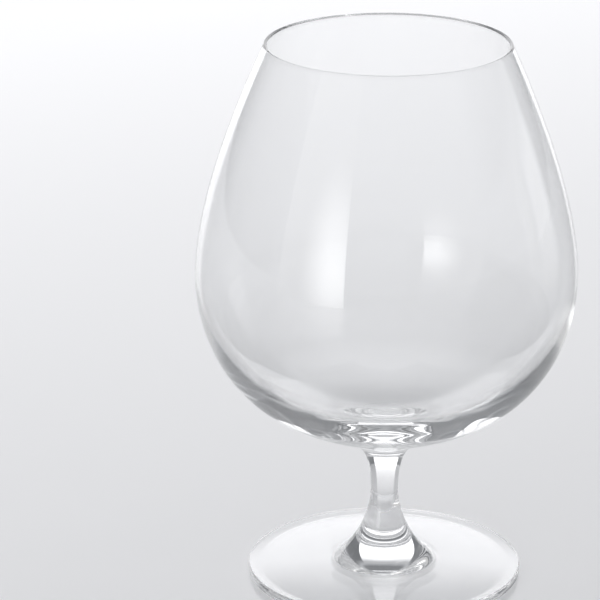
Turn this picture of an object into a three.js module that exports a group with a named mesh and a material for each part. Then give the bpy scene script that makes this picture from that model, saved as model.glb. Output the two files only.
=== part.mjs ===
// A balloon snifter: a short-stemmed drinking glass of clear glass, in three pieces welded together hot.
// Millimetres, +Z up. The origin is on the axis, in the plane that the foot rests on.

import * as THREE from 'three';

// Foot: a round plate, slightly hollow below, with a bell in its middle that rises to the stem.
const FOOT_DIAMETER = 80;
const FOOT_EDGE_THICKNESS = 2.6;
const FOOT_EDGE_ROUNDING = 1.1;
const FOOT_TOP_SLOPE = 4; // degrees, rising towards the bell
const FOOT_HEIGHT = 15; // from the table to the weld with the stem
const BELL_DIAMETER = 32.6; // where the plate turns up into the bell
const BELL_LOW_REACH = 3.6;
const BELL_HIGH_REACH = 6.3;
const REST_RING_WIDTH = 3; // the flat ring that touches the table
const FOOT_HOLLOW_DEPTH = 1.8;

// Stem: solid, with a waist between two flared ends.
const STEM_LENGTH = 23; // from weld to weld
const WAIST_DIAMETER = 8;
const WAIST_HEIGHT = 10.6; // above the weld with the foot
const WAIST_LOW_REACH = 3.5;
const WAIST_HIGH_REACH = 4.2;
const FOOT_WELD_DIAMETER = 12.6;
const FOOT_WELD_ANGLE = 67; // degrees above level, of the outline as it crosses the weld
const FOOT_WELD_REACH = 3.6;
const BOWL_WELD_DIAMETER = 13.8;
const BOWL_WELD_ANGLE = 50;
const BOWL_WELD_REACH = 3.5;

// Bowl: a blown balloon, with its heights measured from the weld with the stem.
const BOWL_HEIGHT = 122;
const BOWL_DIAMETER = 110;
const WIDEST_HEIGHT = 54;
const WIDEST_LOW_REACH = 12.9;
const WIDEST_HIGH_REACH = 20.4;
const RIM_DIAMETER = 70;
const RIM_LEAN = 25; // degrees from upright, inwards
const RIM_REACH = 19.6;
const SHOULDER_DIAMETER = 78.6; // where the flare above the stem has turned into the round side
const SHOULDER_HEIGHT = 17.8;
const SHOULDER_ANGLE = 40.8; // degrees above level
const SHOULDER_LOW_REACH = 15.6;
const SHOULDER_HIGH_REACH = 14.5;
const FLARE_REACH = 8.7;
const RIM_WALL = 0.9;
const SIDE_WALL = 1; // at the widest height
const SHOULDER_WALL = 3.3;
const SHOULDER_THINNING = 2; // at 1 the wall thins evenly up to the side, and above 1 it thins sooner

// How finely the curves are cut into facets.
const ROUND_SEGMENTS = 60;
const BALLOON_STEPS = 12;
const FLARE_STEPS = 7;
const HOLLOW_STEPS = 5;
const FLOOR_STEPS = 8;
const ROUNDING_STEPS = 3;

const GLASS_COLOUR = 0xe9eeee;
const GLASS_ROUGHNESS = 0.03;
const GLASS_OPACITY = 0.35;

const { degToRad, lerp } = THREE.MathUtils;

// The outlines are drawn in a half plane: x runs outwards from the axis and y runs up.
const at = (radius, height) => new THREE.Vector2(radius, height);

// A direction in that plane, in degrees from outwards (0) through upwards (90) to inwards (180).
const towards = (angle) => at(Math.cos(degToRad(angle)), Math.sin(degToRad(angle)));

// A stretch of outline that leaves one point and arrives at another in given directions,
// and keeps each of them for about as far as its reach.
function stretch(start, startAngle, startReach, end, endAngle, endReach) {
  const afterStart = start.clone().addScaledVector(towards(startAngle), startReach);
  const beforeEnd = end.clone().addScaledVector(towards(endAngle), -endReach);
  return new THREE.CubicBezierCurve(start, afterStart, beforeEnd, end);
}

// Points of an arc, from one direction to another as seen from its centre.
function arc(centre, radius, startAngle, endAngle, steps) {
  const points = [];
  for (let step = 0; step <= steps; step += 1) {
    const angle = lerp(startAngle, endAngle, step / steps);
    points.push(centre.clone().addScaledVector(towards(angle), radius));
  }
  return points;
}

// The inside of a wall whose outside is a stretch of outline, from its end back to its start.
// The wall is measured square to the outside. With a thinning of 1 it goes evenly from one
// thickness to the other, and with more it changes sooner.
function insideOf(outside, startWall, endWall, thinning, steps) {
  const points = [];
  for (let step = steps; step >= 0; step -= 1) {
    const along = step / steps;
    const tangent = outside.getTangent(along);
    const inwards = at(-tangent.y, tangent.x);
    const wall = lerp(endWall, startWall, (1 - along) ** thinning);
    points.push(outside.getPoint(along).addScaledVector(inwards, wall));
  }
  return points;
}

// One outline from several runs of points, with a point that ends one run and starts the next kept once.
function joined(...runs) {
  const SAME_POINT = 0.001;
  return runs.flat().filter((point, i, all) => i === 0 || point.distanceTo(all[i - 1]) > SAME_POINT);
}

// A piece of clear glass turned about the axis. Its outline leaves the axis below and returns to it above.
function turned(name, outline, height) {
  const glass = new THREE.MeshStandardMaterial({
    color: GLASS_COLOUR,
    roughness: GLASS_ROUGHNESS,
    metalness: 0,
    transparent: true,
    opacity: GLASS_OPACITY,
  });
  const piece = new THREE.Mesh(new THREE.LatheGeometry(outline, ROUND_SEGMENTS), glass);
  piece.name = name;
  piece.rotation.x = Math.PI / 2; // the lathe turns about Y
  piece.position.z = height;
  return piece;
}

// The foot stands on a flat ring, just inside its rounded edge.
function footOutline() {
  const rounding = Math.min(FOOT_EDGE_ROUNDING, FOOT_EDGE_THICKNESS / 2);
  const edgeRadius = FOOT_DIAMETER / 2 - rounding;
  const ringRadius = edgeRadius - REST_RING_WIDTH;
  const hollow = new THREE.QuadraticBezierCurve(
    at(0, FOOT_HOLLOW_DEPTH),
    at(ringRadius / 2, FOOT_HOLLOW_DEPTH),
    at(ringRadius, 0),
  );
  const lowEdge = arc(at(edgeRadius, rounding), rounding, -90, 0, ROUNDING_STEPS);
  const highCentre = at(edgeRadius, FOOT_EDGE_THICKNESS - rounding);
  const highEdge = arc(highCentre, rounding, 0, 90 - FOOT_TOP_SLOPE, ROUNDING_STEPS);
  const plateStart = highEdge.at(-1);
  const rise = (plateStart.x - BELL_DIAMETER / 2) * Math.tan(degToRad(FOOT_TOP_SLOPE));
  const bell = stretch(
    at(BELL_DIAMETER / 2, plateStart.y + rise), 180 - FOOT_TOP_SLOPE, BELL_LOW_REACH,
    at(FOOT_WELD_DIAMETER / 2, FOOT_HEIGHT), 180 - FOOT_WELD_ANGLE, BELL_HIGH_REACH,
  );
  return joined(
    hollow.getPoints(HOLLOW_STEPS),
    lowEdge,
    highEdge,
    bell.getPoints(FLARE_STEPS),
    [at(0, FOOT_HEIGHT)],
  );
}

function stemOutline() {
  const waist = at(WAIST_DIAMETER / 2, WAIST_HEIGHT);
  const below = stretch(
    at(FOOT_WELD_DIAMETER / 2, 0), 180 - FOOT_WELD_ANGLE, FOOT_WELD_REACH,
    waist, 90, WAIST_LOW_REACH,
  );
  const above = stretch(
    waist, 90, WAIST_HIGH_REACH,
    at(BOWL_WELD_DIAMETER / 2, STEM_LENGTH), BOWL_WELD_ANGLE, BOWL_WELD_REACH,
  );
  return joined(
    [at(0, 0)],
    below.getPoints(FLARE_STEPS),
    above.getPoints(FLARE_STEPS),
    [at(0, STEM_LENGTH)],
  );
}

// The wall is thickest under the floor and thins all the way up to a rounded rim.
function bowlOutline() {
  const shoulder = at(SHOULDER_DIAMETER / 2, SHOULDER_HEIGHT);
  const widest = at(BOWL_DIAMETER / 2, WIDEST_HEIGHT);
  const rimRadius = RIM_WALL / 2;
  const rimCentre = at(RIM_DIAMETER / 2 - rimRadius, BOWL_HEIGHT - rimRadius);
  const outerRim = arc(rimCentre, rimRadius, RIM_LEAN, 90, ROUNDING_STEPS);
  const innerRim = arc(rimCentre, rimRadius, 90, RIM_LEAN + 180, ROUNDING_STEPS);

  const flare = stretch(
    at(BOWL_WELD_DIAMETER / 2, 0), BOWL_WELD_ANGLE, FLARE_REACH,
    shoulder, SHOULDER_ANGLE, SHOULDER_LOW_REACH,
  );
  const lowerSide = stretch(
    shoulder, SHOULDER_ANGLE, SHOULDER_HIGH_REACH,
    widest, 90, WIDEST_LOW_REACH,
  );
  const upperSide = stretch(
    widest, 90, WIDEST_HIGH_REACH,
    outerRim[0], 90 + RIM_LEAN, RIM_REACH,
  );

  const upperInside = insideOf(upperSide, SIDE_WALL, RIM_WALL, 1, BALLOON_STEPS);
  const lowerInside = insideOf(lowerSide, SHOULDER_WALL, SIDE_WALL, SHOULDER_THINNING, BALLOON_STEPS);

  // The floor goes on from the inside at the slope that it ends with, and is level on the axis.
  const floorEdge = lowerInside.at(-1);
  const beside = lowerInside.at(-2);
  const edgeSlope = (beside.y - floorEdge.y) / (beside.x - floorEdge.x);
  const floorHeight = floorEdge.y - (floorEdge.x / 2) * edgeSlope;
  const floor = new THREE.QuadraticBezierCurve(
    floorEdge,
    at(floorEdge.x / 2, floorHeight),
    at(0, floorHeight),
  );

  return joined(
    [at(0, 0)],
    flare.getPoints(BALLOON_STEPS),
    lowerSide.getPoints(BALLOON_STEPS),
    upperSide.getPoints(BALLOON_STEPS),
    outerRim,
    innerRim,
    upperInside,
    lowerInside,
    floor.getPoints(FLOOR_STEPS),
  );
}

const snifter = new THREE.Group();
snifter.name = 'snifter';
snifter.add(turned('foot', footOutline(), 0));
snifter.add(turned('stem', stemOutline(), FOOT_HEIGHT));
snifter.add(turned('bowl', bowlOutline(), FOOT_HEIGHT + STEM_LENGTH));

export default snifter;
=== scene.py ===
# %% [markdown]
# # A balloon snifter of clear glass
#
# A snifter is a drinking glass with a wide round bowl, a narrow mouth, a short stem and a flat foot. It is
# made of three pieces of glass that are welded while they are soft. This lesson dresses a plain CAD model
# of one: each piece is turned again as a fine smooth mesh, gets a glass finish, and is lit like a product
# photograph.
#
# The CAD model comes first, because it fixes where everything is.

# %% Load the frame
import math

import bmesh
import bpy
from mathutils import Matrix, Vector


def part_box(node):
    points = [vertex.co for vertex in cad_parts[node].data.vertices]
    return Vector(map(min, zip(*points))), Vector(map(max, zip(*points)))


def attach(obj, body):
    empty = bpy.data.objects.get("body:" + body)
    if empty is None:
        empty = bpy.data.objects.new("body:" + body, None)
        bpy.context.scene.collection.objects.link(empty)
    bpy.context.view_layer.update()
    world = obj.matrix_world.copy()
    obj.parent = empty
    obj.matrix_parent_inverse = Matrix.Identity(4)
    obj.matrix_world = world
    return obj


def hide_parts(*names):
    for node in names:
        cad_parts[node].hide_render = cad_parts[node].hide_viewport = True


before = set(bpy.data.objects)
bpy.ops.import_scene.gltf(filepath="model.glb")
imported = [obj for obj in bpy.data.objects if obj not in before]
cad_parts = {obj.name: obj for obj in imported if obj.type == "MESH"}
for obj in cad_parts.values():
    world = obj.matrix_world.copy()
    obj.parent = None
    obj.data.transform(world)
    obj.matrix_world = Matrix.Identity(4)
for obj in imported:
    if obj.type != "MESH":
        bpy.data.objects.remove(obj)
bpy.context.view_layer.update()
print("CAD nodes:", sorted(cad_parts))

# %% [markdown]
# ## Sizes
#
# The outer sizes and the welds are read from the CAD pieces, so they can't drift apart. What a box can't
# tell, such as where a curve bends or how thick a wall is, is written in millimetres, and MM turns it
# into Blender's metres. Angles are in degrees. Every outline below is drawn in a half plane: first the
# distance from the axis, then the height.

# %% Sizes of the glass
MM = 0.001

foot_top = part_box("foot")[1]
stem_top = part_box("stem")[1]
bowl_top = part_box("bowl")[1]
FOOT_RADIUS = foot_top[0]
FOOT_WELD_HEIGHT = foot_top[2]
BOWL_WELD_HEIGHT = stem_top[2]
BOWL_WELD_RADIUS = stem_top[0]
BOWL_RADIUS = bowl_top[0]
RIM_HEIGHT = bowl_top[2]

FOOT_WELD_RADIUS = 6.3 * MM
FOOT_WELD_ANGLE = 67
BOWL_WELD_ANGLE = 50

print(f"height {RIM_HEIGHT / MM:.1f} mm")
print(f"bowl {2 * BOWL_RADIUS / MM:.1f} mm and foot {2 * FOOT_RADIUS / MM:.1f} mm across")

# %% [markdown]
# ## Drawing an outline
#
# Glass flows while it is soft, so its outline is smooth from piece to piece. A cubic Bezier curve suits it:
# it leaves one point in a chosen direction, arrives at the next in another, and a reach says how long it
# keeps each.

# %% Curves
CURVE_STEPS = 48


def at(radius, height):
    """A point of an outline: its distance from the axis and its height."""
    return Vector((radius, 0.0, height))


def towards(angle):
    """A direction in an outline, in degrees from outwards (0) through upwards (90) to inwards (180)."""
    return Vector((math.cos(math.radians(angle)), 0.0, math.sin(math.radians(angle))))


def stretch(start, start_angle, start_reach, end, end_angle, end_reach):
    """The four control points of a curve that keeps its direction at each end for about its reach."""
    return (start, start + start_reach * towards(start_angle), end - end_reach * towards(end_angle), end)


def point_on(curve, t):
    """The point of a curve at t, from 0 at its start to 1 at its end."""
    a, b, c, d = curve
    s = 1 - t
    return a * s**3 + b * 3 * s * s * t + c * 3 * s * t * t + d * t**3


def along(curve, steps=CURVE_STEPS):
    """Points from the start of a curve to its end."""
    return [point_on(curve, i / steps) for i in range(steps + 1)]


# %% [markdown]
# ## Arcs and lines
#
# Some runs of an outline aren't free curves: the edges of foot and rim are arcs, and the plate of the foot
# is straight. They are cut finely too, because a smooth-shaded face that is wide would bend light as if it
# were curved. The runs are then joined end to end.

# %% Arcs, lines and joints
ROUNDING_STEPS = 12
SAME_POINT = 1e-7  # metres


def straight(start, end, steps):
    """Points from one end of a line to the other."""
    return [start.lerp(end, i / steps) for i in range(steps + 1)]


def arc(centre, radius, start_angle, end_angle, steps=ROUNDING_STEPS):
    """Points of an arc, from one direction to another as seen from its centre."""
    turn = (end_angle - start_angle) / steps
    return [centre + radius * towards(start_angle + turn * i) for i in range(steps + 1)]


def joined(*runs):
    """One outline from several runs, with a point that ends one and starts the next kept once."""
    points = [runs[0][0]]
    for run in runs:
        points += [p for p in run if (p - points[-1]).length > SAME_POINT]
    return points


# %% [markdown]
# ## The inside of a wall
#
# A blown wall has two surfaces, and only the outer one is drawn. The inner one follows from a thickness
# that changes on the way: each point goes inwards by that much, square to the curve.

# %% Inside of a wall
def heading_on(curve, t):
    """The direction of a curve at t."""
    a, b, c, d = curve
    s = 1 - t
    return ((b - a) * s * s + (c - b) * 2 * s * t + (d - c) * t * t).normalized()


def inside_of(curve, start_wall, end_wall, thinning=1.0, steps=CURVE_STEPS):
    """The inside of a wall whose outside is a curve, from its end back to its start.

    A thinning above 1 makes the wall lose most of its thickness soon after the start.
    """
    points = []
    for i in range(steps, -1, -1):
        t = i / steps
        heading = heading_on(curve, t)
        inwards = Vector((-heading.z, 0.0, heading.x))
        wall = end_wall + (start_wall - end_wall) * (1 - t) ** thinning
        points.append(point_on(curve, t) + inwards * wall)
    return points


# %% [markdown]
# ## Turning
#
# A blown or pressed round piece is a body of revolution, so one outline is spun once about the axis. The
# pieces are left open where they are welded: in the real glass there is no surface there, and a face
# between two solids of glass would show as a mirror inside the stem.

# %% Spin an outline
ROUND_STEPS = 300


def turned(name, outline):
    """A smooth glass piece, spun from an outline that runs with the glass on its left."""
    bm = bmesh.new()
    verts = [bm.verts.new(p) for p in outline]
    edges = [bm.edges.new(pair) for pair in zip(verts, verts[1:])]
    bmesh.ops.spin(
        bm, geom=verts + edges, axis=(0, 0, 1), angle=math.tau, steps=ROUND_STEPS, use_merge=True,
    )
    bmesh.ops.remove_doubles(bm, verts=bm.verts, dist=SAME_POINT)
    bmesh.ops.reverse_faces(bm, faces=bm.faces)
    for face in bm.faces:
        face.smooth = True
    mesh = bpy.data.meshes.new(name)
    bm.to_mesh(mesh)
    bm.free()
    piece = bpy.data.objects.new(name, mesh)
    bpy.context.collection.objects.link(piece)
    print(f"{name}: {len(outline)} points in its outline, {len(mesh.polygons)} faces")
    return piece


# %% [markdown]
# ## The foot
#
# A gather of glass is spun out into a plate. It slopes gently up to a bell that meets the stem. Its edge is
# trimmed and only softened by the fire, so its side still shows as a thin grey line. Its underside is
# slightly hollow, so that it stands on a ring and doesn't rock.

# %% Foot
FOOT_EDGE_THICKNESS = 2.6 * MM
FOOT_EDGE_ROUNDING = 0.5 * MM
FOOT_TOP_SLOPE = 4
BELL_RADIUS = 16.3 * MM
BELL_LOW_REACH = 3.6 * MM
BELL_HIGH_REACH = 6.3 * MM
REST_RING_WIDTH = 3 * MM
FOOT_HOLLOW_DEPTH = 1.8 * MM
RING_STEPS = 6
PLATE_STEPS = 24


def foot_outline():
    edge_radius = FOOT_RADIUS - FOOT_EDGE_ROUNDING
    ring_radius = edge_radius - REST_RING_WIDTH
    hollow = [
        at(ring_radius * i / CURVE_STEPS, FOOT_HOLLOW_DEPTH * (1 - (i / CURVE_STEPS) ** 2))
        for i in range(CURVE_STEPS + 1)
    ]
    ring = straight(at(ring_radius, 0), at(edge_radius, 0), RING_STEPS)
    low_edge = arc(at(edge_radius, FOOT_EDGE_ROUNDING), FOOT_EDGE_ROUNDING, -90, 0)
    high_centre = at(edge_radius, FOOT_EDGE_THICKNESS - FOOT_EDGE_ROUNDING)
    high_edge = arc(high_centre, FOOT_EDGE_ROUNDING, 0, 90 - FOOT_TOP_SLOPE)
    plate_start = high_edge[-1]
    rise = (plate_start.x - BELL_RADIUS) * math.tan(math.radians(FOOT_TOP_SLOPE))
    plate_end = at(BELL_RADIUS, plate_start.z + rise)
    plate = straight(plate_start, plate_end, PLATE_STEPS)
    bell = stretch(
        plate_end, 180 - FOOT_TOP_SLOPE, BELL_LOW_REACH,
        at(FOOT_WELD_RADIUS, FOOT_WELD_HEIGHT), 180 - FOOT_WELD_ANGLE, BELL_HIGH_REACH,
    )
    return joined(hollow, ring, low_edge, high_edge, plate, along(bell))


foot = turned("glass_foot", foot_outline())

# %% [markdown]
# ## The stem
#
# The stem is drawn from soft glass, so it is thinnest at its waist and flares at both ends. It is solid,
# which makes it a lens: it shows the room upside down and the other way round.

# %% Stem
WAIST_RADIUS = 4 * MM
WAIST_HEIGHT = FOOT_WELD_HEIGHT + 10.6 * MM
WAIST_LOW_REACH = 3.5 * MM
WAIST_HIGH_REACH = 4.2 * MM
FOOT_WELD_REACH = 3.6 * MM
BOWL_WELD_REACH = 3.5 * MM


def stem_outline():
    waist = at(WAIST_RADIUS, WAIST_HEIGHT)
    below = stretch(
        at(FOOT_WELD_RADIUS, FOOT_WELD_HEIGHT), 180 - FOOT_WELD_ANGLE, FOOT_WELD_REACH,
        waist, 90, WAIST_LOW_REACH,
    )
    above = stretch(
        waist, 90, WAIST_HIGH_REACH,
        at(BOWL_WELD_RADIUS, BOWL_WELD_HEIGHT), BOWL_WELD_ANGLE, BOWL_WELD_REACH,
    )
    return joined(along(below), along(above))


stem = turned("glass_stem", stem_outline())

# %% [markdown]
# ## The bowl
#
# The bowl is blown. Its wall is thickest where the gather sat, at the base, and thins up to a rim that was
# cut and then softened by the fire, so only its two corners are rounded. The inside is worked out from the
# outside and the wall, square to the surface, so the glass never gets thinner than it should be.

# %% Bowl
WIDEST_HEIGHT = BOWL_WELD_HEIGHT + 54 * MM
WIDEST_LOW_REACH = 12.9 * MM
WIDEST_HIGH_REACH = 20.4 * MM
SHOULDER_RADIUS = 39.3 * MM
SHOULDER_HEIGHT = BOWL_WELD_HEIGHT + 17.8 * MM
SHOULDER_ANGLE = 40.8
SHOULDER_LOW_REACH = 15.6 * MM
SHOULDER_HIGH_REACH = 14.5 * MM
FLARE_REACH = 8.7 * MM
RIM_RADIUS = 35 * MM
RIM_LEAN = 25
RIM_REACH = 19.6 * MM
RIM_WALL = 0.9 * MM
RIM_ROUNDING = 0.15 * MM
SIDE_WALL = 1.0 * MM
SHOULDER_WALL = 3.3 * MM
SHOULDER_THINNING = 2


def bowl_outline():
    shoulder = at(SHOULDER_RADIUS, SHOULDER_HEIGHT)
    widest = at(BOWL_RADIUS, WIDEST_HEIGHT)
    outer_centre = at(RIM_RADIUS - RIM_ROUNDING, RIM_HEIGHT - RIM_ROUNDING)
    inner_centre = outer_centre - (RIM_WALL - 2 * RIM_ROUNDING) * towards(RIM_LEAN)
    rim = arc(outer_centre, RIM_ROUNDING, RIM_LEAN, RIM_LEAN + 90)
    rim += arc(inner_centre, RIM_ROUNDING, RIM_LEAN + 90, RIM_LEAN + 180)
    flare = stretch(
        at(BOWL_WELD_RADIUS, BOWL_WELD_HEIGHT), BOWL_WELD_ANGLE, FLARE_REACH,
        shoulder, SHOULDER_ANGLE, SHOULDER_LOW_REACH,
    )
    lower_side = stretch(shoulder, SHOULDER_ANGLE, SHOULDER_HIGH_REACH, widest, 90, WIDEST_LOW_REACH)
    upper_side = stretch(widest, 90, WIDEST_HIGH_REACH, rim[0], 90 + RIM_LEAN, RIM_REACH)
    upper_inside = inside_of(upper_side, SIDE_WALL, RIM_WALL)
    lower_inside = inside_of(lower_side, SHOULDER_WALL, SIDE_WALL, SHOULDER_THINNING)
    floor_edge = lower_inside[-1]
    edge_slope = (lower_inside[-2].z - floor_edge.z) / (lower_inside[-2].x - floor_edge.x)
    floor_height = floor_edge.z - floor_edge.x / 2 * edge_slope
    floor_rise = floor_edge.z - floor_height
    shares = [1 - i / CURVE_STEPS for i in range(CURVE_STEPS + 1)]
    floor = [at(floor_edge.x * share, floor_height + floor_rise * share**2) for share in shares]
    print(f"the floor of the bowl is {floor_height / MM:.1f} mm above the table")
    outside = joined(along(flare), along(lower_side), along(upper_side))
    return joined(outside, rim, upper_inside, lower_inside, floor)


bowl = turned("glass_bowl", bowl_outline())

# %% [markdown]
# ## Nodes
#
# A finish in Blender is a graph of nodes. Nothing real is perfectly even, so most finishes start from a
# noise texture, which gives every place a number. A ramp turns that number into what the finish needs, such
# as a roughness. Most of the noise lies between 0.35 and 0.7, so that is the range that gets spread out.
# The helpers below build such nodes, and the steps after them say what they are for.

# %% Node helpers
NOISE_LOW = 0.35
NOISE_HIGH = 0.7


def new_material(name):
    """A material, with the nodes and links of its graph."""
    material = bpy.data.materials.new(name)
    material.use_nodes = True
    return material, material.node_tree.nodes, material.node_tree.links


def noise(nodes, links, width, detail):
    """A noise texture whose spots are about this wide on the object."""
    place = nodes.new("ShaderNodeTexCoord")
    texture = nodes.new("ShaderNodeTexNoise")
    texture.inputs["Scale"].default_value = 1 / width
    texture.inputs["Detail"].default_value = detail
    links.new(place.outputs["Object"], texture.inputs["Vector"])
    return texture.outputs["Fac"]


def ramp(nodes, links, source, start, end, low, high, smooth=False):
    """A number that goes from low to high while its source goes from start to end."""
    spread = nodes.new("ShaderNodeMapRange")
    if smooth:
        spread.interpolation_type = "SMOOTHSTEP"
    spread.inputs["From Min"].default_value = start
    spread.inputs["From Max"].default_value = end
    spread.inputs["To Min"].default_value = low
    spread.inputs["To Max"].default_value = high
    links.new(source, spread.inputs["Value"])
    return spread.outputs["Result"]


# %% [markdown]
# ## The glass
#
# Clear glass bends light, mirrors a little of it and has almost no colour of its own. Blender's Glass
# shader could give that, but a Principled shader with full transmission looks the same here and survives an
# export to other programs. The index of 1.52 is that of ordinary soda-lime glass, and the tint is a trace
# of blue.
#
# Real glass is never perfect. Its surface was set by fire and not by a mould, so it waves by about a
# hundredth of a millimetre over a few centimetres, which lets the reflections wander. Handling leaves a
# faint haze in places. A wide noise texture drives a bump for the waves, and a finer one drives the
# roughness for the haze. Both are measured in the space of the object, so they stay on the glass from every
# side.

# %% Glass finish
GLASS_TINT = (0.997, 0.999, 1.0, 1)
GLASS_INDEX = 1.52
WAVE_WIDTH = 30 * MM
WAVE_DEPTH = 0.01 * MM
WAVE_DETAIL = 0
HAZE_WIDTH = 8 * MM
HAZE_DETAIL = 3
LEAST_HAZE = 0.0
MOST_HAZE = 0.012


def clear_glass():
    material, nodes, links = new_material("clear_glass")
    shader = nodes["Principled BSDF"]
    shader.inputs["Base Color"].default_value = GLASS_TINT
    shader.inputs["IOR"].default_value = GLASS_INDEX
    shader.inputs["Transmission Weight"].default_value = 1.0

    waves = nodes.new("ShaderNodeBump")
    waves.inputs["Distance"].default_value = WAVE_DEPTH
    links.new(noise(nodes, links, WAVE_WIDTH, WAVE_DETAIL), waves.inputs["Height"])
    links.new(waves.outputs["Normal"], shader.inputs["Normal"])

    cloudy = noise(nodes, links, HAZE_WIDTH, HAZE_DETAIL)
    haze = ramp(nodes, links, cloudy, NOISE_LOW, NOISE_HIGH, LEAST_HAZE, MOST_HAZE)
    links.new(haze, shader.inputs["Roughness"])
    return material


glass = clear_glass()
print(f"glass: index {GLASS_INDEX}")
print(f"waves: {WAVE_DEPTH / MM:.2f} mm deep and about {WAVE_WIDTH / MM:.0f} mm wide")

# %% [markdown]
# ## Putting the pieces in place
#
# Each dressed piece stands for one CAD node, moves with the same body and gets the clear glass finish,
# and the CAD node is hidden.

# %% Tie the pieces to the frame
for piece, node in ((foot, "foot"), (stem, "stem"), (bowl, "bowl")):
    piece.data.materials.append(glass)
    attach(piece, "root")
    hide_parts(node)
    print(f"{piece.name} stands for {node}")

# %% [markdown]
# ## White acrylic
#
# The glass stands on a sheet of white acrylic. Seen at a low angle such a sheet is half a mirror: it shows
# the light behind the glass as well as its own white, so the picture gets brighter towards the back. A
# Principled shader with acrylic's index does that by itself, and a noise texture makes the sheet a little
# worn.
#
# Its pale tone is partly a light of its own, which only the camera, reflections and looks through the glass
# can see. The floor stays pale that way without more light on the glass, and the part of its tone that
# comes from the room still takes the shadow of the glass. That light grows slowly along the floor towards
# the back and the left.

# %% Acrylic finish
ACRYLIC_WHITE = (0.74, 0.74, 0.745, 1)
ACRYLIC_INDEX = 1.49
ACRYLIC_SMOOTH = 0.08
ACRYLIC_WORN = 0.12
WEAR_WIDTH = 40 * MM
WEAR_DETAIL = 4
GLOW_COLOUR = (0.98, 0.98, 1.0, 1)
GLOW_AT_FOOT = 0.14
GLOW_GROWTH = (-0.2, 0.225, 0)  # per metre
GLOW_MOST = 0.31


def maths(nodes, links, operation, first, second):
    """A number worked out from two others by the named operation."""
    node = nodes.new("ShaderNodeMath")
    node.operation = operation
    links.new(first, node.inputs[0])
    links.new(second, node.inputs[1])
    return node.outputs[0]


def seen_or_reflected(nodes, links):
    """1 for a look by the camera, in a mirror or through glass, and 0 for light on other things."""
    path = nodes.new("ShaderNodeLightPath").outputs
    seen = maths(nodes, links, "MAXIMUM", path["Is Camera Ray"], path["Is Glossy Ray"])
    return maths(nodes, links, "MAXIMUM", seen, path["Is Transmission Ray"])


def white_acrylic():
    material, nodes, links = new_material("white_acrylic")
    shader = nodes["Principled BSDF"]
    shader.inputs["Base Color"].default_value = ACRYLIC_WHITE
    shader.inputs["IOR"].default_value = ACRYLIC_INDEX
    shader.inputs["Emission Color"].default_value = GLOW_COLOUR
    worn = noise(nodes, links, WEAR_WIDTH, WEAR_DETAIL)
    wear = ramp(nodes, links, worn, NOISE_LOW, NOISE_HIGH, ACRYLIC_SMOOTH, ACRYLIC_WORN)
    links.new(wear, shader.inputs["Roughness"])

    place = nodes.new("ShaderNodeNewGeometry")
    along_floor = nodes.new("ShaderNodeVectorMath")
    along_floor.operation = "DOT_PRODUCT"
    along_floor.inputs[1].default_value = GLOW_GROWTH
    links.new(place.outputs["Position"], along_floor.inputs[0])
    growth = along_floor.outputs["Value"]
    glow = ramp(nodes, links, growth, -GLOW_AT_FOOT, GLOW_MOST - GLOW_AT_FOOT, 0.0, GLOW_MOST)
    glow_seen = maths(nodes, links, "MULTIPLY", glow, seen_or_reflected(nodes, links))
    links.new(glow_seen, shader.inputs["Emission Strength"])
    return material


acrylic = white_acrylic()
print(f"acrylic: index {ACRYLIC_INDEX}, roughness {ACRYLIC_SMOOTH} to {ACRYLIC_WORN}")

# %% [markdown]
# ## The floor
#
# The sheet reaches far past the picture. It lies a tenth of a millimetre below the foot, because two faces
# in one plane would flicker. It isn't part of the glass, and like the cards and the lamp after it, it is
# built as a piece of the studio.

# %% Floor
FLOOR_REACH = 6.0  # metres
FLOOR_DROP = 0.1 * MM


def staged(name, verts, faces, material):
    """A piece of the studio, which isn't part of the glass."""
    mesh = bpy.data.meshes.new(name)
    mesh.from_pydata(verts, [], faces)
    mesh.materials.append(material)
    obj = bpy.data.objects.new(name, mesh)
    bpy.context.collection.objects.link(obj)
    return obj


floor_sides = ((-1, -1), (1, -1), (1, 1), (-1, 1))
floor_corners = [(x * FLOOR_REACH, y * FLOOR_REACH, -FLOOR_DROP) for x, y in floor_sides]
staged("acrylic_floor", floor_corners, [(0, 1, 2, 3)], acrylic)
print(f"floor: {2 * FLOOR_REACH:.0f} m wide, {FLOOR_DROP / MM:.1f} mm below the foot")

# %% [markdown]
# ## The room
#
# Nearly everything that is seen in a glass is the room round it, bent or mirrored, so lighting one means
# choosing what it sees. The room itself is plain: dim and slightly blue round the sides, and brighter
# overhead, where the ceiling throws light back. A gradient over the height of the sky gives that without
# any picture of a room.

# %% Room light
ROOM_COLOUR = (0.97, 0.98, 1.0, 1)
ROOM_SIDES = 0.5
ROOM_CEILING = 0.85
SIDES_END = 45
CEILING_STARTS = 75


def room():
    world = bpy.data.worlds.new("room")
    world.use_nodes = True
    nodes = world.node_tree.nodes
    links = world.node_tree.links
    direction = nodes.new("ShaderNodeTexCoord")
    axes = nodes.new("ShaderNodeSeparateXYZ")
    links.new(direction.outputs["Generated"], axes.inputs[0])
    start = math.sin(math.radians(SIDES_END))
    end = math.sin(math.radians(CEILING_STARTS))
    tone = ramp(nodes, links, axes.outputs["Z"], start, end, ROOM_SIDES, ROOM_CEILING, smooth=True)
    links.new(tone, nodes["Background"].inputs["Strength"])
    nodes["Background"].inputs["Color"].default_value = ROOM_COLOUR
    bpy.context.scene.world = world


room()
print(f"room: {ROOM_SIDES} round the sides up to {SIDES_END} degrees, {ROOM_CEILING} overhead")

# %% [markdown]
# ## Card light
#
# Photographers put light and dark cards round a glass, to choose what it shows. Each card here shines by
# itself, so its tone is exactly what is written. A number at every corner of the card holds that tone, and
# the material only reads it. Dark tones lean a little to blue, as shade in daylight does.

# %% Card light
DARK_TINT = (0.9, 0.94, 1.0, 1)


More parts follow.
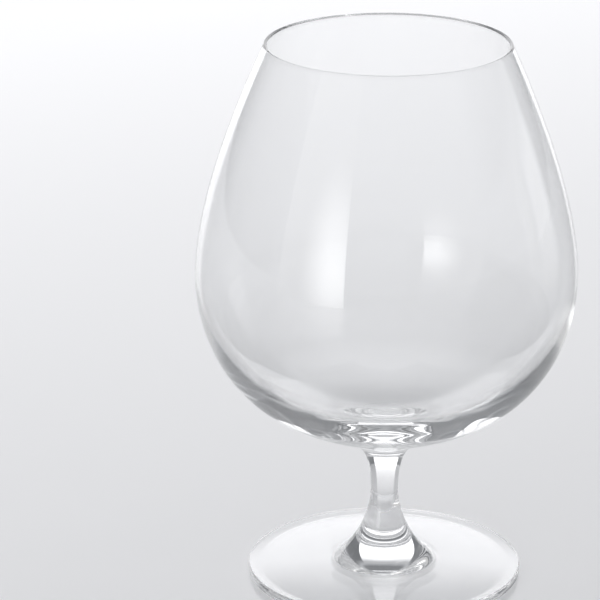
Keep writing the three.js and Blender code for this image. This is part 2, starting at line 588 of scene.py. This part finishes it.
def card_light():
    material, nodes, links = new_material("card_light")
    nodes.remove(nodes["Principled BSDF"])
    tone = nodes.new("ShaderNodeAttribute")
    tone.attribute_name = "tone"
    tint = nodes.new("ShaderNodeMix")
    tint.data_type = "RGBA"
    tint.inputs["A"].default_value = DARK_TINT
    tint.inputs["B"].default_value = GLOW_COLOUR
    light = nodes.new("ShaderNodeEmission")
    links.new(tone.outputs["Fac"], tint.inputs["Factor"])
    links.new(tint.outputs["Result"], light.inputs["Color"])
    links.new(tone.outputs["Fac"], light.inputs["Strength"])
    links.new(light.outputs[0], nodes["Material Output"].inputs["Surface"])
    return material


card_material = card_light()
print("card light: its tone is read from the cards")

# %% [markdown]
# ## Bending a card
#
# A card is a grid bent round the glass. It is placed by the directions in which the glass sees it: an
# azimuth, which is 0 behind the glass, and an elevation. Towards a soft edge its tone runs into the tone of
# the room, so that no hard line shows in the glass. The camera doesn't see it.

# %% Bend a card
CARD_STEPS = 24


def round_glass(azimuth, distance, height):
    """A place round the glass. Azimuth 0 is behind it and above 0 is to its right, in degrees."""
    turn = math.radians(azimuth)
    return (distance * math.sin(turn), distance * math.cos(turn), height)


def share_of(inside, border):
    """How much of a card's tone is left, at some degrees inside an edge with a soft border."""
    if border == 0:
        return 1.0
    return min(inside / border, 1.0)


def card(name, azimuths, elevations, distance, tone, soft_sides=0, soft_foot=0, soft_top=0):
    """A card bent round the glass, between two azimuths and two elevations in degrees."""
    left, right = azimuths
    low, high = elevations
    verts = []
    tones = []
    for i in range(CARD_STEPS + 1):
        azimuth = left + (right - left) * i / CARD_STEPS
        for j in range(CARD_STEPS + 1):
            elevation = low + (high - low) * j / CARD_STEPS
            level = distance * math.cos(math.radians(elevation))
            height = distance * math.sin(math.radians(elevation))
            verts.append(round_glass(azimuth, level, height))
            share = share_of(min(azimuth - left, right - azimuth), soft_sides)
            share *= share_of(elevation - low, soft_foot) * share_of(high - elevation, soft_top)
            tones.append(ROOM_SIDES + (tone - ROOM_SIDES) * share)
    row = CARD_STEPS + 1
    faces = [
        (i * row + j, (i + 1) * row + j, (i + 1) * row + j + 1, i * row + j + 1)
        for i in range(CARD_STEPS) for j in range(CARD_STEPS)
    ]
    piece = staged(name, verts, faces, card_material)
    piece.data.attributes.new("tone", "FLOAT", "POINT").data.foreach_set("value", tones)
    piece.visible_camera = False
    print(f"{name}: azimuth {left} to {right}, elevation {low} to {high}, tone {tone}")


# %% [markdown]
# ## Placing the cards
#
# A wide bright card behind the glass fills the stem and the foot with light. Dark ones, called flags, stand
# close beside it and above it. They draw the edges of the glass as grey lines, because there the light has
# been bent from the side. Dim walls farther round give the thick base its grey bands, and a low light on
# the right brightens that side of the bowl.

# %% Cards round the glass
card("rear_light", (-35, 25), (0, 32), distance=4.0, tone=1.6, soft_top=8)
card("top_flag", (-40, 40), (34, 70), distance=2.2, tone=0.2, soft_sides=8, soft_foot=6, soft_top=10)
card("left_flag", (-68, -35), (0, 34), distance=2.0, tone=0.2, soft_top=6)
card("right_flag", (25, 54), (0, 36), distance=2.0, tone=0.18, soft_top=6)
card("left_wall", (-125, -50), (0, 52), distance=2.2, tone=0.15, soft_sides=20, soft_top=8)
card("right_wall", (40, 118), (13, 40), distance=2.2, tone=0.22, soft_sides=20, soft_foot=3, soft_top=8)
card("low_right_light", (55, 76), (0, 12), distance=2.0, tone=1.0, soft_sides=4, soft_top=4)

# %% [markdown]
# ## The lamp
#
# One lamp stands at the front on the left, behind a tall sheet of diffusing cloth. Its mirror image is the
# long highlight on the bowl, with a straight edge where the cloth ends, and a second, smaller image comes
# back from the far wall. The cloth is brightest where the lamp stands behind it, so its tone falls off with
# the distance from there.

# %% Diffusing cloth
CLOTH_DISTANCE = 0.9  # metres
CLOTH_HEIGHT = 0.8
CLOTH_EDGES = (-156, -115)
LAMP_AZIMUTH = -149
LAMP_HEIGHT = 0.16
LAMP_REACH = 0.36
CLOTH_BRIGHTEST = 3.6
CLOTH_DIMMEST = 0.6


def lit_cloth():
    material, nodes, links = new_material("lit_cloth")
    nodes.remove(nodes["Principled BSDF"])
    place = nodes.new("ShaderNodeNewGeometry")
    from_lamp = nodes.new("ShaderNodeVectorMath")
    from_lamp.operation = "DISTANCE"
    from_lamp.inputs[1].default_value = round_glass(LAMP_AZIMUTH, CLOTH_DISTANCE, LAMP_HEIGHT)
    links.new(place.outputs["Position"], from_lamp.inputs[0])
    away = from_lamp.outputs["Value"]
    tone = ramp(nodes, links, away, 0.0, LAMP_REACH, CLOTH_BRIGHTEST, CLOTH_DIMMEST, smooth=True)
    light = nodes.new("ShaderNodeEmission")
    links.new(tone, light.inputs["Strength"])
    links.new(light.outputs[0], nodes["Material Output"].inputs["Surface"])
    return material


near_edge, far_edge = CLOTH_EDGES
cloth_sides = ((near_edge, 0), (far_edge, 0), (far_edge, CLOTH_HEIGHT), (near_edge, CLOTH_HEIGHT))
cloth_corners = [round_glass(azimuth, CLOTH_DISTANCE, height) for azimuth, height in cloth_sides]
cloth = staged("diffusing_cloth", cloth_corners, [(0, 1, 2, 3)], lit_cloth())
cloth.visible_camera = False
print(f"cloth: {CLOTH_HEIGHT} m tall, {CLOTH_DISTANCE} m from the glass")

# %% [markdown]
# ## The camera
#
# The camera stands about a metre away and looks slightly down, with a long lens that keeps the ellipses of
# rim and foot flat. Its place came from fitting the outline of the glass, so that rim, bowl, stem and foot
# all fall where the photograph has them, with the foot cut by the lower edge of the picture.

# %% Camera
CAMERA_PLACE = (0, -0.9139, 0.3993)
CAMERA_PITCH = 19.058
CAMERA_YAW = 1.555
SENSOR = 36  # millimetres
PICTURE_WIDTH = 600
FOCAL_PIXELS = 3353.7

camera_data = bpy.data.cameras.new("camera")
camera_data.sensor_width = SENSOR
camera_data.lens = FOCAL_PIXELS / PICTURE_WIDTH * SENSOR
camera = bpy.data.objects.new("camera", camera_data)
camera.location = CAMERA_PLACE
camera.rotation_euler = (math.radians(90 - CAMERA_PITCH), 0, math.radians(CAMERA_YAW))
bpy.context.collection.objects.link(camera)
bpy.context.scene.camera = camera
bpy.context.scene.view_settings.view_transform = "Standard"
print(f"camera: {camera_data.lens:.0f} mm lens, looking {CAMERA_PITCH:.1f} degrees down")

# %% [markdown]
# ## Long light paths
#
# Light that enters the rim is guided down the thin wall, and mirrored inside the glass dozens of times
# before it leaves. Blender gives up after a few bounces by default and paints black there, so the limits go
# up.
#
# Blender also blurs glass by default for light that has been scattered before, which saves time. The floor
# under the foot is lit through the glass, and that blur would leave it in a dark shadow that no real foot
# has, so it is off.

# %% Light bounces
LIGHT_BOUNCES = 128
light_paths = bpy.context.scene.cycles
light_paths.max_bounces = LIGHT_BOUNCES
light_paths.glossy_bounces = LIGHT_BOUNCES
light_paths.transmission_bounces = LIGHT_BOUNCES
light_paths.blur_glossy = 0
print("light bounces:", LIGHT_BOUNCES)
